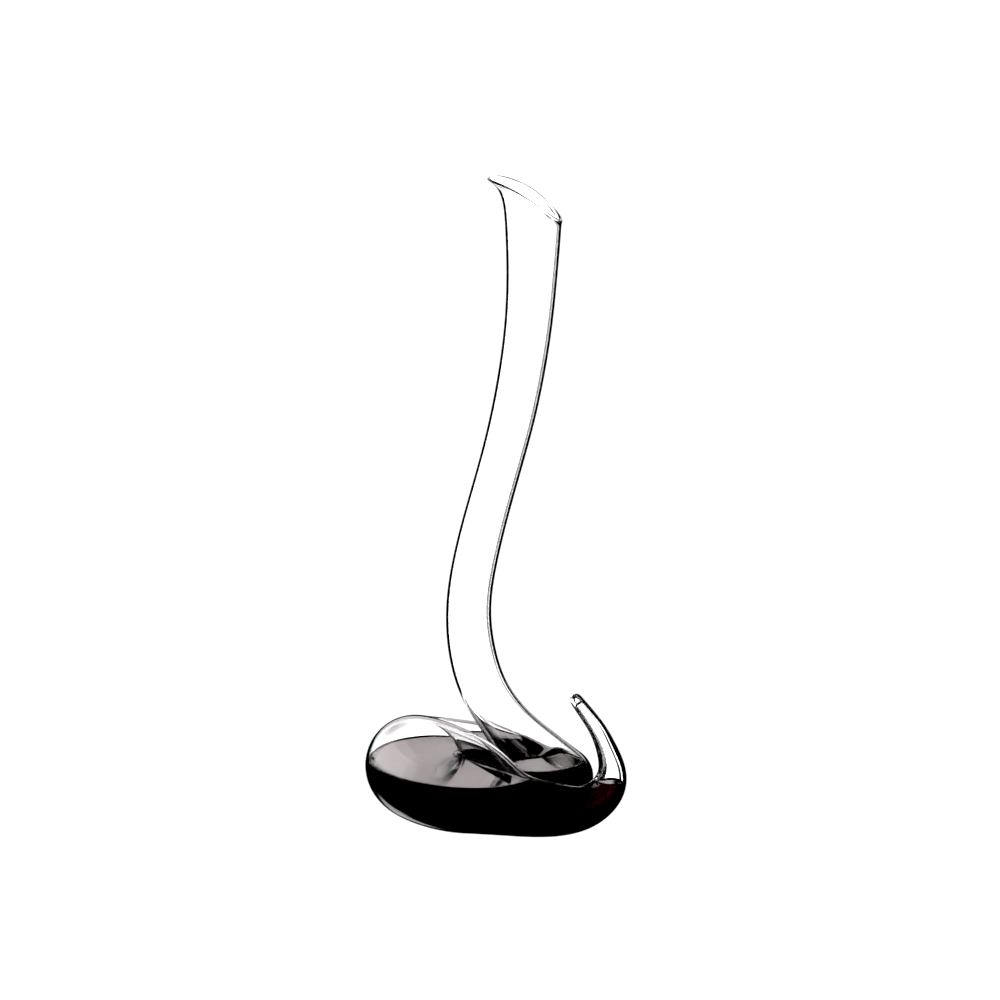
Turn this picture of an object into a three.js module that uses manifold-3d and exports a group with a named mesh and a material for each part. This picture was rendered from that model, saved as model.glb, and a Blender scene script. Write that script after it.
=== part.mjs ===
// A mouth-blown crystal wine decanter: one long glass tube, coiled like a resting snake.
// The coil lies flat and holds the wine, one end curls up as a short closed tail, and the
// other end rises as a tall S-shaped neck with a slanted mouth and a pointed pouring lip.
// Millimetres, +Z up, +X to the right and +Y to the back; the origin ends up under the
// middle of the object's box, on the surface that the coil rests on.
import * as THREE from 'three';
import { mergeVertices } from 'three/addons/utils/BufferGeometryUtils.js';
import Module from 'manifold-3d';

// ---------------------------------------------------------------- driving dimensions

// The tube's stretches, from the tail's tip to the mouth. Each stretch begins at its first
// station and ends where the next one begins. A station is [x, y, z, outer radius] of the
// tube's centreline; step is the distance between the rings of vertices.
const STRETCHES = [
  {
    name: 'tail_tip', wall: 2.4, step: 6,
    stations: [[61.5, -72, 110, 4.9], [68.5, -72.5, 100.5, 5.7], [77.5, -72, 87, 6.6]],
  },
  {
    name: 'tail_stem', wall: 3.2, step: 7,
    stations: [[84.5, -70, 71, 8], [88.5, -66.5, 54.5, 10.3]],
  },
  {
    name: 'tail_base', wall: 2.9, step: 7,
    stations: [[86, -62, 38.5, 13.1], [70, -60.5, 23.5, 16.5]],
  },
  {
    name: 'coil_front', wall: 2.2, step: 9,
    stations: [[46.5, -59, 20, 20.7], [19, -60, 23.5, 24.2], [-10, -55, 33, 34.4]],
  },
  {
    name: 'coil_bulb', wall: 2.2, step: 9,
    stations: [[-41, -34, 39, 40.4], [-60.5, 1, 37.5, 38.7], [-51, 36, 32, 33.5]],
  },
  {
    name: 'coil_back', wall: 2.2, step: 9,
    stations: [[-19, 55.5, 27.5, 28.4], [14, 56.5, 24, 24.5]],
  },
  {
    name: 'coil_turn', wall: 2.1, step: 8,
    stations: [[41, 37.5, 21, 21.8], [52.5, 13, 25, 22.1], [48, -10, 35, 22.7]],
  },
  {
    name: 'neck_root', wall: 2.0, step: 9,
    stations: [[26.5, -20, 55.5, 22.3], [7.5, -17.5, 77.5, 18.9]],
  },
  {
    name: 'neck_lower', wall: 1.9, step: 12,
    stations: [[-8.5, -12, 102, 18.1], [-17, -8, 128.5, 17.9], [-20, -4, 162, 17.2]],
  },
  {
    name: 'neck_middle', wall: 1.8, step: 16,
    stations: [[-14.5, -1, 203, 16.9], [-5.5, 0, 240, 16.6], [4, 0, 275, 16.5]],
  },
  {
    name: 'neck_upper', wall: 1.8, step: 16,
    stations: [[13, 0, 311, 17], [20, 0, 347, 17.5], [25, 0, 383, 18.1]],
  },
  {
    name: 'mouth', wall: 1.8, step: 10,
    stations: [[28, 0, 425, 19.4], [29, 0, 463, 21.3], [29.5, 0, 505, 23]],
  },
];

const SIDES = 24; // flat sides round the tube
const FLOOR = 0; // the surface that the coil rests on, where the glass is flattened
const TIP_BORE_START = 5; // solid glass between the last station and the tail's bore

const RIM_LOW = 466; // height of the rim's low side, opposite the lip
const RIM_HIGH = 497.4; // height of the pouring lip
const RIM_SLANT_POWER = 1.6; // the rim is level at the lip and steepest opposite it
const LIP_REACH = 12; // how far the lip's point stands out from the neck
const LIP_SPREAD = THREE.MathUtils.degToRad(35); // how wide the lip is round the neck
const LIP_FLARE_HEIGHT = 8.5; // how far below the rim the lip begins to turn out
const RIM_ROUNDING = 1.2; // how far the fire-polished rim stands above its two edges

const WINE_LEVEL = 43.3;
const WINE_CLEARANCE = 0.3; // between the wine and the glass
const DRY_STRETCHES = ['tail_tip', 'neck_lower', 'neck_middle', 'neck_upper', 'mouth'];

// ---------------------------------------------------------------- the tube's centreline

// A natural cubic spline through rows of numbers, spaced by the distance between the
// first three numbers of each row. It gives the row at any distance along the line.
function smoothLine(rows) {
  const last = rows.length - 1;
  const at = [0];
  for (let i = 1; i <= last; i++) {
    const [a, b] = [rows[i - 1], rows[i]];
    at.push(at[i - 1] + Math.hypot(b[0] - a[0], b[1] - a[1], b[2] - a[2]));
  }
  const bends = rows[0].map((_, column) => {
    const upper = new Array(last + 1).fill(0);
    const rest = new Array(last + 1).fill(0);
    for (let i = 1; i < last; i++) {
      const before = at[i] - at[i - 1];
      const after = at[i + 1] - at[i];
      const slopeBefore = (rows[i][column] - rows[i - 1][column]) / before;
      const slopeAfter = (rows[i + 1][column] - rows[i][column]) / after;
      const pivot = 2 * (before + after) - before * upper[i - 1];
      upper[i] = after / pivot;
      rest[i] = (6 * (slopeAfter - slopeBefore) - before * rest[i - 1]) / pivot;
    }
    const bend = new Array(last + 1).fill(0);
    for (let i = last - 1; i > 0; i--) {
      bend[i] = rest[i] - upper[i] * bend[i + 1];
    }
    return bend;
  });
  const read = (distance) => {
    let i = 0;
    while (i < last - 1 && distance > at[i + 1]) i++;
    const width = at[i + 1] - at[i];
    const b = (distance - at[i]) / width;
    const a = 1 - b;
    return rows[0].map((_, column) => {
      const bend = ((a ** 3 - a) * bends[column][i] + (b ** 3 - b) * bends[column][i + 1]) / 6;
      return a * rows[i][column] + b * rows[i + 1][column] + bend * width * width;
    });
  };
  return { at, read };
}

const stations = STRETCHES.flatMap(({ stations: own, wall }) => own.map((row) => [...row, wall]));
const line = smoothLine(stations);
const lineEnd = line.at[line.at.length - 1];

function centre(distance) {
  return new THREE.Vector3(...line.read(distance).slice(0, 3));
}

function direction(distance) {
  const half = 0.5;
  return centre(distance + half).sub(centre(distance - half)).normalize();
}

// Frames that follow the tube without twisting, carried down from the upright mouth, where
// the first sideways direction points at the pouring lip.
const FRAME_STEP = 1;
const frames = [];
for (let i = Math.ceil(lineEnd / FRAME_STEP); i >= 0; i--) {
  const along = direction(i * FRAME_STEP);
  const side = frames[i + 1] ? frames[i + 1].clone() : new THREE.Vector3(-1, 0, 0);
  frames[i] = side.addScaledVector(along, -side.dot(along)).normalize();
}

// The two sideways directions of the tube's cross-section.
function crossDirections(distance) {
  const place = THREE.MathUtils.clamp(distance / FRAME_STEP, 0, frames.length - 1.001);
  const low = Math.floor(place);
  const along = direction(distance);
  const side = frames[low].clone().lerp(frames[low + 1], place - low);
  side.addScaledVector(along, -side.dot(along)).normalize();
  return [side, along.cross(side)];
}

// ---------------------------------------------------------------- the glass surfaces

// A point on the tube's wall: inset is the depth under the outer surface, in walls.
function wallPoint(distance, angle, inset, gap = 0) {
  const [x, y, z, radius, wall] = line.read(distance);
  const [side, across] = crossDirections(distance);
  const reach = radius - wall * inset - gap;
  const point = new THREE.Vector3(x, y, z);
  point.addScaledVector(side, reach * Math.cos(angle));
  point.addScaledVector(across, reach * Math.sin(angle));
  point.z = Math.max(point.z, FLOOR + wall * inset + gap);
  return point;
}

const angles = Array.from({ length: SIDES }, (_, i) => (i / SIDES) * 2 * Math.PI);

function ring(distance, inset, gap = 0) {
  return angles.map((angle) => wallPoint(distance, angle, inset, gap));
}

// Distances of the rings of one stretch, ends included.
function ringPlaces(from, to, step) {
  const count = Math.max(1, Math.round((to - from) / step));
  return Array.from({ length: count + 1 }, (_, i) => from + ((to - from) * i) / count);
}

// How strongly the lip shows at this angle round the mouth: 1 at its point.
function lipShare(angle) {
  const off = Math.min(angle, 2 * Math.PI - angle);
  return Math.exp(-((off / LIP_SPREAD) ** 2));
}

// The rim's height, level at the lip and falling to the far side.
function rimHeight(angle) {
  const [axis, , , radius] = line.read(lineEnd);
  const reach = radius + LIP_REACH * lipShare(angle);
  const tip = axis - radius - LIP_REACH;
  const share = (axis - reach * Math.cos(angle) - tip) / (2 * radius + LIP_REACH);
  return RIM_HIGH - (RIM_HIGH - RIM_LOW) * share ** RIM_SLANT_POWER;
}

// Where the tube's upright centreline reaches a height near the mouth.
function placeAtHeight(height) {
  const [, , top] = line.read(lineEnd);
  return lineEnd - (top - height);
}

// One ring of the mouth: share 0 lies on the neck, and share 1 is the slanted rim.
function mouthRing(start, share, inset, lift = 0) {
  return angles.map((angle) => {
    const rim = placeAtHeight(rimHeight(angle));
    const place = start + (rim - start) * share;
    const point = wallPoint(place, angle, inset);
    const flare = LIP_REACH * lipShare(angle) * Math.exp(-(rim - place) / LIP_FLARE_HEIGHT);
    const [side, across] = crossDirections(place);
    const outward = share > 0 ? flare : 0;
    point.addScaledVector(side, outward * Math.cos(angle));
    point.addScaledVector(across, outward * Math.sin(angle));
    point.z += lift;
    return point;
  });
}

// ---------------------------------------------------------------- meshes from rings

// Skins a row of rings into a closed surface. A ring of one point is a pole, and looped
// joins the last ring to the first, with the quads split the other way, so that the end
// faces of two neighbouring stretches have the same triangles.
function skin(rings, looped) {
  const points = rings.flat();
  const starts = [];
  let total = 0;
  for (const one of rings) {
    starts.push(total);
    total += one.length;
  }
  const triangles = [];
  const strips = looped ? rings.length : rings.length - 1;
  for (let r = 0; r < strips; r++) {
    const [a, b] = [rings[r], rings[(r + 1) % rings.length]];
    const [startA, startB] = [starts[r], starts[(r + 1) % rings.length]];
    const closing = r === rings.length - 1;
    for (let i = 0; i < SIDES; i++) {
      const next = (i + 1) % SIDES;
      const turnA = closing ? i : next;
      const turnB = closing ? next : i;
      if (a.length > 1) {
        triangles.push([startA + i, startA + next, startB + (b.length > 1 ? turnB : 0)]);
      }
      if (b.length > 1) {
        triangles.push([startA + (a.length > 1 ? turnA : 0), startB + next, startB + i]);
      }
    }
  }
  return solidFrom(points, triangles);
}

// A mesh geometry whose faces point out, whichever way its triangles were listed.
function solidFrom(points, triangles) {
  const volume = triangles.reduce((sum, [a, b, c]) => {
    return sum + points[a].dot(points[b].clone().cross(points[c])) / 6;
  }, 0);
  const facing = volume > 0 ? triangles : triangles.map(([a, b, c]) => [a, c, b]);
  const geometry = new THREE.BufferGeometry();
  const positions = points.flatMap((point) => [point.x, point.y, point.z]);
  geometry.setAttribute('position', new THREE.Float32BufferAttribute(positions, 3));
  geometry.setIndex(facing.flat());
  return geometry;
}

// An open length of tube, with a flat ring-shaped face at each end.
function tubeLength(from, to, step) {
  const places = ringPlaces(from, to, step);
  const outer = places.map((place) => ring(place, 0));
  const inner = places.map((place) => ring(place, 1)).reverse();
  return skin([...outer, ...inner], true);
}

// Rings that close a tube's end as a dome, ending in a pole; turn is -1 at the line's start.
function dome(distance, inset, turn) {
  const [, , , radius, wall] = line.read(distance);
  const reach = radius - wall * inset;
  const out = direction(distance).multiplyScalar(turn * reach);
  const middle = centre(distance);
  const rings = [30, 60].map((degrees) => {
    const rise = THREE.MathUtils.degToRad(degrees);
    return ring(distance, inset).map((point) => {
      const flat = point.sub(middle).multiplyScalar(Math.cos(rise));
      return flat.add(middle).addScaledVector(out, Math.sin(rise));
    });
  });
  return [...rings, [middle.clone().add(out)]];
}

// The tail's tip: a solid rounded end, with the bore closed a little below it.
function tipOfTail(to, step) {
  const outerPlaces = ringPlaces(0, to, step);
  const innerPlaces = ringPlaces(TIP_BORE_START, to, step);
  const outer = [...dome(0, 0, -1).reverse(), ...outerPlaces.map((place) => ring(place, 0))];
  const inner = [...dome(TIP_BORE_START, 1, -1).reverse(), ...innerPlaces.map((place) => ring(place, 1))];
  return skin([...outer, ...inner.reverse()], false);
}

// The mouth: the neck's top, cut on a slant, with its lip and a rounded rim.
function mouth(start) {
  const shares = [0, 0.16, 0.32, 0.48, 0.62, 0.74, 0.84, 0.92, 0.97, 1];
  const outer = shares.map((share) => mouthRing(start, share, 0));
  const inner = shares.map((share) => mouthRing(start, share, 1)).reverse();
  return skin([...outer, mouthRing(start, 1, 0.5, RIM_ROUNDING), ...inner], true);
}

// ---------------------------------------------------------------- the wine

const wasm = await Module();
wasm.setup();

function toSolid(geometry) {
  const bare = geometry.clone();
  bare.deleteAttribute('normal');
  bare.deleteAttribute('uv');
  const merged = mergeVertices(bare);
  const vertProperties = new Float32Array(merged.attributes.position.array);
  const triVerts = new Uint32Array(merged.index.array);
  return new wasm.Manifold(new wasm.Mesh({ numProp: 3, vertProperties, triVerts }));
}

function fromSolid(solid) {
  const mesh = solid.getMesh();
  const geometry = new THREE.BufferGeometry();
  geometry.setAttribute('position', new THREE.Float32BufferAttribute(mesh.vertProperties, 3));
  geometry.setIndex(Array.from(mesh.triVerts));
  return geometry;
}

// The wine fills the bore of every stretch that reaches below its level, and is cut level.
function wine() {
  const places = [];
  for (const { name, from, to, step } of lengths) {
    if (DRY_STRETCHES.includes(name)) continue;
    places.push(...ringPlaces(from, to, step).slice(places.length ? 1 : 0));
  }
  // Listed from the neck's end, as the bore is, so that both split their quads the same way.
  places.reverse();
  const rings = places.map((place) => ring(place, 1, WINE_CLEARANCE));
  const lastPlace = places[places.length - 1];
  const column = toSolid(skin([[centre(places[0])], ...rings, [centre(lastPlace)]], false));
  const airSize = 400;
  const air = new THREE.BoxGeometry(airSize, airSize, airSize);
  air.translate(0, 0, WINE_LEVEL + airSize / 2);
  return fromSolid(column.subtract(toSolid(air)));
}

// ---------------------------------------------------------------- the assembly

const COLOURS = {
  glass: { color: 0xe9eef0, roughness: 0.04, metalness: 0, transparent: true, opacity: 0.4 },
  wine: { color: 0x2a0409, roughness: 0.05, metalness: 0 },
};

const assembly = new THREE.Group();
assembly.name = 'wine_decanter';

function addPiece(name, geometry, finish) {
  const mesh = new THREE.Mesh(geometry, new THREE.MeshStandardMaterial(COLOURS[finish]));
  mesh.name = name;
  mesh.geometry.computeVertexNormals();
  assembly.add(mesh);
}

// Where each stretch begins and ends along the centreline.
let stationCount = 0;
const lengths = STRETCHES.map(({ name, step, stations: own }) => {
  const from = line.at[stationCount];
  stationCount += own.length;
  const to = line.at[Math.min(stationCount, line.at.length - 1)];
  return { name, step, from, to };
});

for (const { name, from, to, step } of lengths) {
  if (name === 'tail_tip') addPiece(name, tipOfTail(to, step), 'glass');
  else if (name === 'mouth') addPiece(name, mouth(from), 'glass');
  else addPiece(name, tubeLength(from, to, step), 'glass');
}
addPiece('wine', wine(), 'wine');

// The origin goes under the middle of the whole object's box.
const box = new THREE.Box3().setFromObject(assembly);
assembly.position.set(-(box.min.x + box.max.x) / 2, -(box.min.y + box.max.y) / 2, -box.min.z);

export default assembly;
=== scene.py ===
"""A mouth-blown crystal wine decanter, coiled like a resting snake and part filled with red wine.

The whole glass is one continuous blown tube, so one smooth closed mesh stands for all of the
CAD's stretches of tube, and a second closed mesh stands for the wine inside it. Both are swept
along the CAD's own centreline. Lengths named _MM are millimetres, and all others are metres.
"""
import math

import bmesh
import bpy
import numpy as np
from mathutils import Matrix, Vector


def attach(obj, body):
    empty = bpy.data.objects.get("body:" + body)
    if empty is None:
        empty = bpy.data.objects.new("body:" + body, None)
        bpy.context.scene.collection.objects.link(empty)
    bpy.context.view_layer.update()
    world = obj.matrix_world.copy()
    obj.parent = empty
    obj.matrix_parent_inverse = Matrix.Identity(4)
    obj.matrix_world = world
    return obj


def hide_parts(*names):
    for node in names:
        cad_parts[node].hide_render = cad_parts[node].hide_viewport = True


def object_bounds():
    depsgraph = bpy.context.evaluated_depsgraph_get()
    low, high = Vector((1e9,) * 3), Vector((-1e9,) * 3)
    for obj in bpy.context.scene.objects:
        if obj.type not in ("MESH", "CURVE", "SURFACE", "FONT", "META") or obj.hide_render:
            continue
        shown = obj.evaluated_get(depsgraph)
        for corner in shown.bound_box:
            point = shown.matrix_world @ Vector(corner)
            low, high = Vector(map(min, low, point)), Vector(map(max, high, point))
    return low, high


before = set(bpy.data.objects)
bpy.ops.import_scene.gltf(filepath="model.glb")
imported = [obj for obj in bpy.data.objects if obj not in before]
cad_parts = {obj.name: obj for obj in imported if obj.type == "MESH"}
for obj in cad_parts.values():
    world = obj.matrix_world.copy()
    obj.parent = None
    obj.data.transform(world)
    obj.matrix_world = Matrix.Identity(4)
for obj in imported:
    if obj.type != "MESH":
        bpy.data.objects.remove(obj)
cad_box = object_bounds()

MM = 0.001

# ------------------------------------------------------------------ the glass tube's shape

# The tube's stretches, from the tail's tip to the mouth, as in the CAD: the wall, and then
# the centreline's stations (x, y, z, outer radius), all in millimetres.
STRETCHES_MM = (
    ("tail_tip", 2.4, ((61.5, -72, 110, 4.9), (68.5, -72.5, 100.5, 5.7), (77.5, -72, 87, 6.6))),
    ("tail_stem", 3.2, ((84.5, -70, 71, 8), (88.5, -66.5, 54.5, 10.3))),
    ("tail_base", 2.9, ((86, -62, 38.5, 13.1), (70, -60.5, 23.5, 16.5))),
    ("coil_front", 2.2, ((46.5, -59, 20, 20.7), (19, -60, 23.5, 24.2), (-10, -55, 33, 34.4))),
    ("coil_bulb", 2.2, ((-41, -34, 39, 40.4), (-60.5, 1, 37.5, 38.7), (-51, 36, 32, 33.5))),
    ("coil_back", 2.2, ((-19, 55.5, 27.5, 28.4), (14, 56.5, 24, 24.5))),
    ("coil_turn", 2.1, ((41, 37.5, 21, 21.8), (52.5, 13, 25, 22.1), (48, -10, 35, 22.7))),
    ("neck_root", 2.0, ((26.5, -20, 55.5, 22.3), (7.5, -17.5, 77.5, 18.9))),
    ("neck_lower", 1.9, ((-8.5, -12, 102, 18.1), (-17, -8, 128.5, 17.9), (-20, -4, 162, 17.2))),
    ("neck_middle", 1.8, ((-14.5, -1, 203, 16.9), (-5.5, 0, 240, 16.6), (4, 0, 275, 16.5))),
    ("neck_upper", 1.8, ((13, 0, 311, 17), (20, 0, 347, 17.5), (25, 0, 383, 18.1))),
    ("mouth", 1.8, ((28, 0, 425, 19.4), (29, 0, 463, 21.3), (29.5, 0, 505, 23))),
)
SIDES = 120
RING_STEP_MM = 2.5
TIP_BORE_START_MM = 5
DOME_RINGS = 14

RIM_LOW_MM = 466
RIM_HIGH_MM = 497.4
RIM_SLANT_POWER = 1.6
LIP_REACH_MM = 12
LIP_SPREAD = math.radians(35)
LIP_FLARE_HEIGHT_MM = 8.5
RIM_ROUNDING_MM = 1.2
RIM_BEAD_MM = 0.5
RIM_BEAD_HEIGHT_MM = 2.0
MOUTH_RINGS = 44
MOUTH_RING_CROWDING = 1.6
RIM_RINGS = 7

# The wine climbs the glass by CONTACT_RISE_MM. Its curved edge is drawn at these steps inwards,
# in MENISCUS_REACH_MM, and it is level from the last one on.
WINE_LEVEL_MM = 43.3
CONTACT_RISE_MM = 1.0
MENISCUS_REACH_MM = 1.5
MENISCUS_STEPS = (0.12, 0.3, 0.6, 1.0, 1.5, 2.2, 3.0)
MENISCUS_FALL = 1.6
WINE_OVERLAP_MM = 0.04
CUT_MERGE = 1e-7
LEVEL_TOLERANCE = 1e-6
FACING_UP = 0.05

# Materials
CRYSTAL_IOR = 1.52
WINE_IOR = 1.35
WAVE_SCALE = 18.0
WAVE_DEPTH = 0.00006
WINE_COLOUR = (0.5, 0.04, 0.02, 1)
WINE_DENSITY = 520.0
WHITE = (1, 1, 1, 1)

# Stage and camera
FLOOR_RADIUS = 4.0
FLOOR_SEGMENTS = 96
FLOOR_GAP = 0.0002
FLOOR_COLOUR = (0.9, 0.9, 0.9, 1)
CAMERA_TILT = math.radians(15)
CAMERA_DISTANCE = 10.0
CAMERA_REACH = 100.0
SENSOR_WIDTH_MM = 36
VIEW_WIDTH = 0.759
AIM_MM = Vector((3.8, 0, 247.3))
LIGHT_BOUNCES = 24
MIRROR_BOUNCES = 12


class SmoothLine:
    """A natural cubic spline through rows of numbers, spaced by their first three columns."""

    def __init__(self, rows):
        self.rows = np.array(rows, float)
        gaps = np.linalg.norm(np.diff(self.rows[:, :3], axis=0), axis=1)
        self.at = np.concatenate([[0.0], np.cumsum(gaps)])
        count = len(self.rows)
        matrix = np.eye(count)
        right = np.zeros_like(self.rows)
        slopes = np.diff(self.rows, axis=0) / gaps[:, None]
        for i in range(1, count - 1):
            matrix[i, i - 1 : i + 2] = gaps[i - 1], 2 * (gaps[i - 1] + gaps[i]), gaps[i]
            right[i] = 6 * (slopes[i] - slopes[i - 1])
        self.bends = np.linalg.solve(matrix, right)

    def __call__(self, distance):
        """The rows at these distances along the line."""
        distance = np.asarray(distance, float)
        i = np.clip(np.searchsorted(self.at, distance, side="right") - 1, 0, len(self.at) - 2)
        width = (self.at[i + 1] - self.at[i])[..., None]
        b = (distance - self.at[i])[..., None] / width
        a = 1 - b
        bend = ((a**3 - a) * self.bends[i] + (b**3 - b) * self.bends[i + 1]) * width**2 / 6
        return a * self.rows[i] + b * self.rows[i + 1] + bend


line = SmoothLine([(*row, wall) for _, wall, rows in STRETCHES_MM for row in rows])
line_end = line.at[-1]


def unit(vectors):
    """The same directions, one long."""
    return vectors / np.linalg.norm(vectors, axis=-1, keepdims=True)


def directions(distance):
    """The tube's direction at these distances, over one millimetre of its line."""
    half = 0.5
    return unit(line(distance + half)[..., :3] - line(distance - half)[..., :3])


def carried_frames():
    """Sideways directions that follow the tube without twisting, down from the upright mouth."""
    places = np.arange(0, line_end + 1)
    along = directions(places)
    sides = np.zeros_like(along)
    side = np.array([-1.0, 0.0, 0.0])
    for i in range(len(places) - 1, -1, -1):
        side = unit(side - along[i] * side.dot(along[i]))
        sides[i] = side
    return places, sides


frame_places, frame_sides = carried_frames()


def cross_directions(distance):
    """The two directions across the tube at these distances."""
    along = directions(distance)
    side = np.stack([np.interp(distance, frame_places, frame_sides[:, k]) for k in range(3)], -1)
    side = unit(side - along * (side * along).sum(-1, keepdims=True))
    return side, np.cross(along, side)


ANGLES = np.arange(SIDES) / SIDES * 2 * math.pi


def wall_points(distance, angle, inset, gap=0.0):
    """Points on the tube's wall; inset is the depth under the outer surface, in walls."""
    distance, angle = np.broadcast_arrays(distance, angle)
    row = line(distance)
    side, across = cross_directions(distance)
    wall = row[..., 4]
    reach = (row[..., 3] - wall * inset - gap)[..., None]
    round_tube = side * np.cos(angle)[..., None] + across * np.sin(angle)[..., None]
    points = row[..., :3] + round_tube * reach
    points[..., 2] = np.maximum(points[..., 2], wall * inset + gap)
    return points


def ring(distance, inset, gap=0.0):
    """One whole ring of the wall."""
    return wall_points(distance, ANGLES, inset, gap)


def dome(distance, inset):
    """Rings that close the tube's tail end as a dome, from its pole."""
    row = line(distance)
    out = -directions(np.asarray(distance, float)) * (row[3] - row[4] * inset)
    base = ring(distance, inset) - row[:3]
    rises = [math.pi / 2 * i / DOME_RINGS for i in range(1, DOME_RINGS)]
    rings = [base * math.cos(a) + row[:3] + out * math.sin(a) for a in rises]
    return [np.array([row[:3] + out])] + rings[::-1]


def lip_share(angle):
    """How strongly the lip shows at this angle round the mouth: 1 at its point."""
    off = np.minimum(angle, 2 * math.pi - angle)
    return np.exp(-((off / LIP_SPREAD) ** 2))


def rim_height(angle):
    """The rim's height, level at the lip and falling to the far side."""
    axis, _, _, radius, _ = line(line_end)
    reach = radius + LIP_REACH_MM * lip_share(angle)
    tip = axis - radius - LIP_REACH_MM
    share = (axis - reach * np.cos(angle) - tip) / (2 * radius + LIP_REACH_MM)
    return RIM_HIGH_MM - (RIM_HIGH_MM - RIM_LOW_MM) * share**RIM_SLANT_POWER


def mouth_ring(start, share, inset, lift=0.0):
    """One ring of the mouth: share 0 lies on the neck, and share 1 is the slanted rim.

    The lip flares out just under the rim, and the melted rim is a little thicker than the wall.
    """
    rim = line_end - (line(line_end)[2] - rim_height(ANGLES))
    place = start + (rim - start) * share
    points = wall_points(place, ANGLES, inset)
    flare = LIP_REACH_MM * lip_share(ANGLES) * np.exp(-(rim - place) / LIP_FLARE_HEIGHT_MM)
    bead = RIM_BEAD_MM * (1 - 2 * inset) * np.exp(-(((rim - place) / RIM_BEAD_HEIGHT_MM) ** 2))
    side, across = cross_directions(place)
    outward = side * np.cos(ANGLES)[:, None] + across * np.sin(ANGLES)[:, None]
    points = points + outward * (flare + bead)[:, None]
    points[:, 2] += lift
    return points


def stretch_start(name):
    """Where this stretch's first station lies along the line."""
    names = [stretch[0] for stretch in STRETCHES_MM]
    before = STRETCHES_MM[: names.index(name)]
    return line.at[sum(len(rows) for _, _, rows in before)]


def ring_places(start, end):
    """Even places from start to end, about one ring step apart."""
    return np.linspace(start, end, round((end - start) / RING_STEP_MM) + 1)


# ------------------------------------------------------------------ meshes from rings

def skin(bm, rings):
    """Skins rings into a surface; a ring of one point is a pole. Gives the faces of each strip."""
    made = [[bm.verts.new(Vector(p) * MM) for p in one] for one in rings]
    strips = []
    for a, b in zip(made, made[1:]):
        strip = []
        for i in range(SIDES):
            j = (i + 1) % SIDES
            corners = [a[i % len(a)], a[j % len(a)], b[j % len(b)], b[i % len(b)]]
            corners = [v for k, v in enumerate(corners) if v not in corners[:k]]
            strip.append(bm.faces.new(corners))
        strips.append(strip)
    return strips


CONTACT = (WINE_LEVEL_MM + CONTACT_RISE_MM) * MM


def cut_level(bm, cut, **clear):
    """Cuts these faces, edges and corners along the line where the wine touches the glass."""
    bmesh.ops.bisect_plane(
        bm, geom=cut, dist=CUT_MERGE, plane_co=(0, 0, CONTACT), plane_no=(0, 0, 1), **clear
    )


def face_out(bm):
    """Turns every face outwards, whichever way the rings ran."""
    if bm.calc_volume(signed=True) < 0:
        bmesh.ops.reverse_faces(bm, faces=bm.faces[:])


def object_from(bm, name):
    mesh = bpy.data.meshes.new(name)
    bm.to_mesh(mesh)
    bm.free()
    piece = bpy.data.objects.new(name, mesh)
    bpy.context.scene.collection.objects.link(piece)
    return piece


def part_shift():
    """From the tube's own place to the CAD's, whose box stands on the floor about the middle."""
    mouth_start = stretch_start("mouth")
    places = ring_places(0, mouth_start)
    points = np.concatenate([ring(place, 0) for place in places] + [mouth_ring(mouth_start, 1, 0)])
    low, high = points.min(0) * MM, points.max(0) * MM
    cad_low, cad_high = (np.array(corner) for corner in cad_box)
    shift = (cad_low + cad_high) / 2 - (low + high) / 2
    shift[2] = cad_low[2]
    return Vector(shift)


def vessel_mesh():
    """The blown glass: outer surface, fire-polished rim, and the bore down to the tail's tip."""
    mouth_start = stretch_start("mouth")
    outer_places = ring_places(0, mouth_start)
    inner_places = ring_places(TIP_BORE_START_MM, mouth_start)
    shares = 1 - (1 - np.linspace(0, 1, MOUTH_RINGS)[1:]) ** MOUTH_RING_CROWDING
    rings = dome(0, 0) + [ring(place, 0) for place in outer_places]
    rings += [mouth_ring(mouth_start, share, 0) for share in shares]
    for i in range(1, RIM_RINGS):
        turn = math.pi * i / RIM_RINGS
        lift = RIM_ROUNDING_MM * math.sin(turn)
        rings.append(mouth_ring(mouth_start, 1, (1 - math.cos(turn)) / 2, lift))
    outside = len(rings) - 1
    rings += [mouth_ring(mouth_start, share, 1) for share in shares[::-1]]
    rings += [ring(place, 1) for place in inner_places[::-1]]
    rings += dome(TIP_BORE_START_MM, 1)[::-1]
    bm = bmesh.new()
    bore_mark = bm.faces.layers.int.new("bore")
    strips = skin(bm, rings)
    bore = [face for strip in strips[outside:] for face in strip]
    face_out(bm)
    for face in bore:
        face[bore_mark] = 1
    edges = list({edge for face in bore for edge in face.edges})
    corners = list({corner for face in bore for corner in face.verts})
    cut_level(bm, bore + edges + corners)
    for face in bm.faces:
        face.smooth = True
        if face[bore_mark] and face.calc_center_median().z < CONTACT:
            face.material_index = 1
    return bm


def open_loops(bm):
    """The mesh's open edges, as loops of vertices in order."""
    ways = {}
    for edge in bm.edges:
        if edge.is_boundary:
            a, b = edge.verts
            ways.setdefault(a, []).append(b)
            ways.setdefault(b, []).append(a)
    loops = []
    while ways:
        start = next(iter(ways))
        loop = [start]
        before = None
        here = start
        while True:
            onward = [v for v in ways[here] if v is not before]
            before, here = here, onward[0]
            if here is start:
                break
            loop.append(here)
        for v in loop:
            del ways[v]
        loops.append(loop)
    return loops


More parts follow.
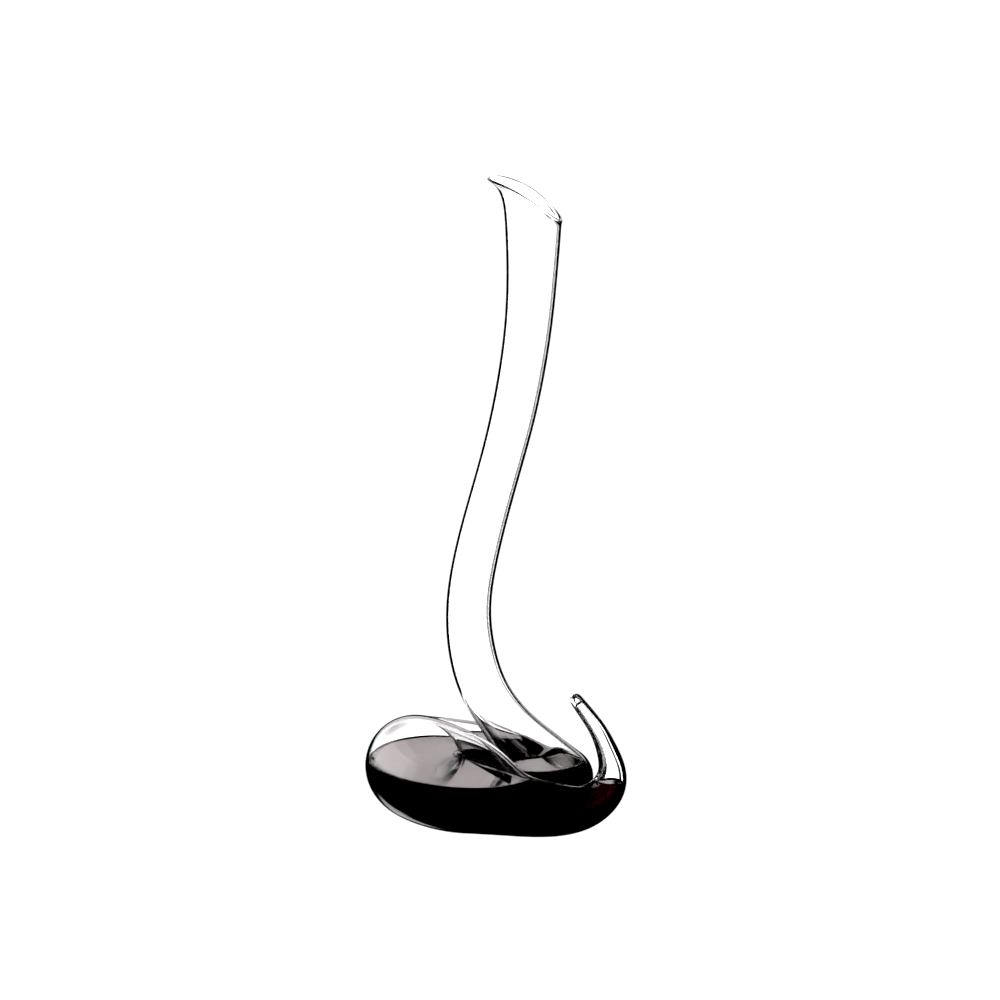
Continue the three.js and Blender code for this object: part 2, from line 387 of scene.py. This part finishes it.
def meniscus(bm, loop):
    """Fills one loop with wine surface: it climbs the glass at the edge and is level inside."""
    points = np.array([v.co[:] for v in loop])
    tangent = np.roll(points, -1, 0) - np.roll(points, 1, 0)
    inward = unit(np.stack([-tangent[:, 1], tangent[:, 0], 0 * tangent[:, 0]], -1))
    x, y = points[:, 0], points[:, 1]
    area = (x * np.roll(y, -1) - np.roll(x, -1) * y).sum() / 2
    inward *= math.copysign(1, area)
    rise = CONTACT_RISE_MM * MM
    reach = MENISCUS_REACH_MM * MM
    before = loop
    for step in MENISCUS_STEPS:
        moved = points + inward * reach * step
        moved[:, 2] = points[:, 2] - rise * (1 - math.exp(-MENISCUS_FALL * step))
        if step == MENISCUS_STEPS[-1]:
            moved[:, 2] = WINE_LEVEL_MM * MM
        after = [bm.verts.new(p) for p in moved]
        for i in range(len(loop)):
            j = (i + 1) % len(loop)
            bm.faces.new([before[i], before[j], after[j], after[i]]).smooth = True
        before = after
    bm.faces.new(before).smooth = False


def wine_mesh():
    """The wine: it fills the bore up to its level in the coil, the neck's root and the tail."""
    places = ring_places(stretch_start("tail_stem"), stretch_start("neck_lower"))
    rings = [ring(place, 1, -WINE_OVERLAP_MM) for place in places]
    bm = bmesh.new()
    skin(bm, rings)
    cut_level(bm, bm.verts[:] + bm.edges[:] + bm.faces[:], clear_outer=True)
    for face in bm.faces:
        face.smooth = True
    for loop in open_loops(bm):
        meniscus(bm, loop)
    bmesh.ops.recalc_face_normals(bm, faces=bm.faces[:])
    face_out(bm)
    many_sided = [face for face in bm.faces if len(face.verts) > 4]
    bmesh.ops.triangulate(bm, faces=many_sided)
    return bm


def mark_top(wine):
    """Marks the faces where the wine meets air: all at its level or above that face upwards."""
    mark = wine.data.attributes.new("wine_top", "FLOAT", "FACE")
    lowest = WINE_LEVEL_MM * MM - LEVEL_TOLERANCE
    for face in wine.data.polygons:
        heights = [wine.data.vertices[i].co.z for i in face.vertices]
        mark.data[face.index].value = float(min(heights) >= lowest and face.normal.z > FACING_UP)


# ------------------------------------------------------------------ materials

class Nodes:
    """A short way to build a node tree."""

    def __init__(self, tree):
        self.tree = tree
        tree.nodes.clear()

    def add(self, kind, operation=None, **inputs):
        """Adds a node. An input is named by its socket, or by its number as in _0."""
        node = self.tree.nodes.new(kind)
        if operation:
            node.operation = operation
        for key, value in inputs.items():
            name = int(key[1:]) if key[1:].isdigit() else key.replace("_", " ")
            socket = node.inputs[name]
            if hasattr(value, "is_output"):
                self.tree.links.new(value, socket)
            else:
                socket.default_value = value
        return node

    def maths(self, operation, a, b=0.0, c=0.0):
        return self.add("ShaderNodeMath", operation, _0=a, _1=b, _2=c).outputs[0]

    def mix(self, share, a, b):
        return self.add("ShaderNodeMix", _0=share, _2=a, _3=b).outputs[0]

    def glass(self, **inputs):
        return self.add("ShaderNodeBsdfGlass", Color=WHITE, Roughness=0.0, **inputs).outputs[0]

    def show(self, kind, **outputs):
        """Adds the output node and links what it shows."""
        out = self.add(kind)
        for name, value in outputs.items():
            self.tree.links.new(value, out.inputs[name])


def new_material(name):
    material = bpy.data.materials.new(name)
    material.use_nodes = True
    return material, Nodes(material.node_tree)


def crystal():
    """Clear fire-polished crystal, with the slow waves of hand-blown glass."""
    material, nodes = new_material("crystal")
    place = nodes.add("ShaderNodeTexCoord").outputs["Object"]
    waves = nodes.add("ShaderNodeTexNoise", Vector=place, Scale=WAVE_SCALE, Detail=1.0)
    bump = nodes.add("ShaderNodeBump", Height=waves.outputs[0], Strength=1.0, Distance=WAVE_DEPTH)
    glass = nodes.glass(IOR=CRYSTAL_IOR, Normal=bump.outputs[0])
    nodes.show("ShaderNodeOutputMaterial", Surface=glass)
    return material


def wetted_bore():
    """The bore under the wine: the wine's own side bends the light there, so this is clear."""
    material, nodes = new_material("wetted_bore")
    clear = nodes.add("ShaderNodeBsdfTransparent", Color=WHITE)
    nodes.show("ShaderNodeOutputMaterial", Surface=clear.outputs[0])
    return material


def red_wine():
    """Deep red wine: its top meets air and its sides meet glass, and it swallows the light."""
    material, nodes = new_material("red_wine")
    mark = nodes.add("ShaderNodeAttribute")
    mark.attribute_name = "wine_top"
    top = nodes.glass(IOR=WINE_IOR)
    side = nodes.glass(IOR=WINE_IOR / CRYSTAL_IOR)
    both = nodes.add("ShaderNodeMixShader", _0=mark.outputs["Fac"], _1=side, _2=top)
    swallow = nodes.add("ShaderNodeVolumeAbsorption", Color=WINE_COLOUR, Density=WINE_DENSITY)
    nodes.show("ShaderNodeOutputMaterial", Surface=both.outputs[0], Volume=swallow.outputs[0])
    return material


# ------------------------------------------------------------------ stage, light and camera

def pale_floor():
    """A plain disc just under the object; rays through the glass see the panels in its place."""
    bm = bmesh.new()
    bmesh.ops.create_circle(bm, cap_ends=True, segments=FLOOR_SEGMENTS, radius=FLOOR_RADIUS)
    floor = object_from(bm, "floor")
    floor.location.z = cad_box[0][2] - FLOOR_GAP
    material, nodes = new_material("pale_floor")
    paint = nodes.add("ShaderNodeBsdfDiffuse", Color=FLOOR_COLOUR)
    nodes.show("ShaderNodeOutputMaterial", Surface=paint.outputs[0])
    floor.data.materials.append(material)
    floor.visible_transmission = False
    floor.visible_glossy = False


# Bright panels stand round the object, and the dark gaps between them draw its edges. A panel is
# its first and last bearing, its lowest and highest elevation (degrees, and bearing 0 is behind
# the object), and its strength. The first set is seen through the glass, the second mirrored.
PANELS_THROUGH = (
    (-2, 11, -30, 5, 2.1),
    (-8, -2, -24, -13, 2.1),
    (-7, 2, 14, 20, 2.4),
    (17, 116, -9, 2, 2.6),
    (24, 116, -23, -9, 2.6),
    (65, 124, -80, 3, 2.6),
    (158, 167, -19, -3, 2.6),
    (227, 271, -28, 12, 2.6),
    (329, 355, -27, 9, 2.6),
    (-58, -32, -40, -10, 1.15),
    (122, 148, -30, 5, 1.15),
    (257, 283, -12, 6, 1.15),
)
PANELS_MIRRORED = (
    (-105, 29, -2, 29, 1.5),
    (-94, -50, -5, 41, 1.4),
    (-32, -12, -42, -30, 1.2),
)
PANEL_EDGE = 5
TINT_TOP = 0.2
UPPER_TINT = (1.0, 0.9, 0.91, 1)
FLOOR_LIGHT = 1.25

# A ray stays in the glass wall if it crossed at most two surfaces and was mirrored on the way.
WALL_CROSSINGS = 2.5
AT_LEAST_ONCE = 0.5


def soft_step(nodes, value, dark, bright):
    step = nodes.add("ShaderNodeMapRange", Value=value, From_Min=dark, From_Max=bright)
    step.interpolation_type = "SMOOTHSTEP"
    return step.outputs[0]


def soft_edge(angle):
    """The angles at which a panel's edge starts and ends, in radians."""
    return math.radians(angle - PANEL_EDGE / 2), math.radians(angle + PANEL_EDGE / 2)


def panel(nodes, parts, level, first, last, low, high, strength):
    """The light of one panel in a direction with these parts."""
    middle = math.radians((first + last) / 2)
    east = nodes.maths("MULTIPLY", parts["X"], math.sin(middle))
    along = nodes.maths("MULTIPLY_ADD", parts["Y"], math.cos(middle), east)
    inner, outer = soft_edge((last - first) / 2)
    width = soft_step(nodes, nodes.maths("DIVIDE", along, level), math.cos(outer), math.cos(inner))
    outer, inner = soft_edge(low)
    rise = soft_step(nodes, parts["Z"], math.sin(outer), math.sin(inner))
    inner, outer = soft_edge(high)
    fall = soft_step(nodes, parts["Z"], math.sin(outer), math.sin(inner))
    height = nodes.maths("MULTIPLY", rise, fall)
    return nodes.maths("MULTIPLY", nodes.maths("MULTIPLY", width, height), strength)


def all_panels(nodes, parts, level, rows):
    light = 0.0
    for row in rows:
        light = nodes.maths("ADD", panel(nodes, parts, level, *row), light)
    return light


def studio_light():
    """The panels' light, which depends on the kind of ray.

    Rays through the glass and mirrored rays see different panels. Rays mirrored inside the wall
    see black, which draws dark edges. Straight rays and the floor see one even light. This is
    chosen for its look, and no real studio gives it.
    """
    world = bpy.data.worlds.new("studio")
    bpy.context.scene.world = world
    world.use_nodes = True
    nodes = Nodes(world.node_tree)
    way = nodes.add("ShaderNodeTexCoord").outputs["Generated"]
    parts = nodes.add("ShaderNodeSeparateXYZ", Vector=way).outputs
    level = nodes.maths("SQRT", nodes.maths("SUBTRACT", 1.0, nodes.maths("POWER", parts["Z"], 2.0)))
    path = nodes.add("ShaderNodeLightPath").outputs
    few = nodes.maths("LESS_THAN", path["Transmission Depth"], WALL_CROSSINGS)
    bounced = nodes.maths("GREATER_THAN", path["Glossy Depth"], AT_LEAST_ONCE)
    out_of_wall = nodes.maths("SUBTRACT", 1.0, nodes.maths("MULTIPLY", few, bounced))
    through = nodes.maths("MULTIPLY", all_panels(nodes, parts, level, PANELS_THROUGH), out_of_wall)
    mirrored = all_panels(nodes, parts, level, PANELS_MIRRORED)
    shown = nodes.mix(path["Is Reflection Ray"], through, mirrored)
    on_floor = nodes.maths("GREATER_THAN", path["Diffuse Depth"], AT_LEAST_ONCE)
    plain = nodes.maths("MAXIMUM", path["Is Camera Ray"], on_floor)
    strength = nodes.mix(plain, shown, FLOOR_LIGHT)
    upper = soft_step(nodes, parts["Z"], 0.0, TINT_TOP)
    tinted = nodes.maths("MULTIPLY", upper, nodes.maths("SUBTRACT", 1.0, plain))
    tint = nodes.add("ShaderNodeMixRGB", Fac=tinted, Color1=WHITE, Color2=UPPER_TINT)
    glow = nodes.add("ShaderNodeBackground", Color=tint.outputs[0], Strength=strength)
    nodes.show("ShaderNodeOutputWorld", Surface=glow.outputs[0])


def camera(aim):
    """A camera in front of the object, tilted down, far enough off for a nearly flat view."""
    data = bpy.data.cameras.new("camera")
    data.sensor_width = SENSOR_WIDTH_MM
    data.angle = 2 * math.atan(VIEW_WIDTH / 2 / CAMERA_DISTANCE)
    eye = bpy.data.objects.new("camera", data)
    back = Vector((0, -math.cos(CAMERA_TILT), math.sin(CAMERA_TILT)))
    eye.location = aim + back * CAMERA_DISTANCE
    eye.rotation_euler = (math.pi / 2 - CAMERA_TILT, 0, 0)
    data.clip_end = CAMERA_REACH
    bpy.context.scene.collection.objects.link(eye)
    bpy.context.scene.camera = eye


# ------------------------------------------------------------------ the scene

shift = part_shift()
camera(AIM_MM * MM + shift)
pale_floor()
studio_light()

vessel = object_from(vessel_mesh(), "blown_glass")
vessel.visible_diffuse = False
vessel.data.transform(Matrix.Translation(shift))
vessel.data.materials.append(crystal())
vessel.data.materials.append(wetted_bore())
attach(vessel, "root")
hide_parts(*[name for name, _, _ in STRETCHES_MM])

wine = object_from(wine_mesh(), "red_wine")
mark_top(wine)
wine.visible_diffuse = False
wine.data.transform(Matrix.Translation(shift))
wine.data.materials.append(red_wine())
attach(wine, "root")
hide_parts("wine")

scene = bpy.context.scene
scene.view_settings.view_transform = "Standard"
scene.cycles.max_bounces = LIGHT_BOUNCES
scene.cycles.transmission_bounces = LIGHT_BOUNCES
scene.cycles.glossy_bounces = MIRROR_BOUNCES
scene.cycles.transparent_max_bounces = LIGHT_BOUNCES
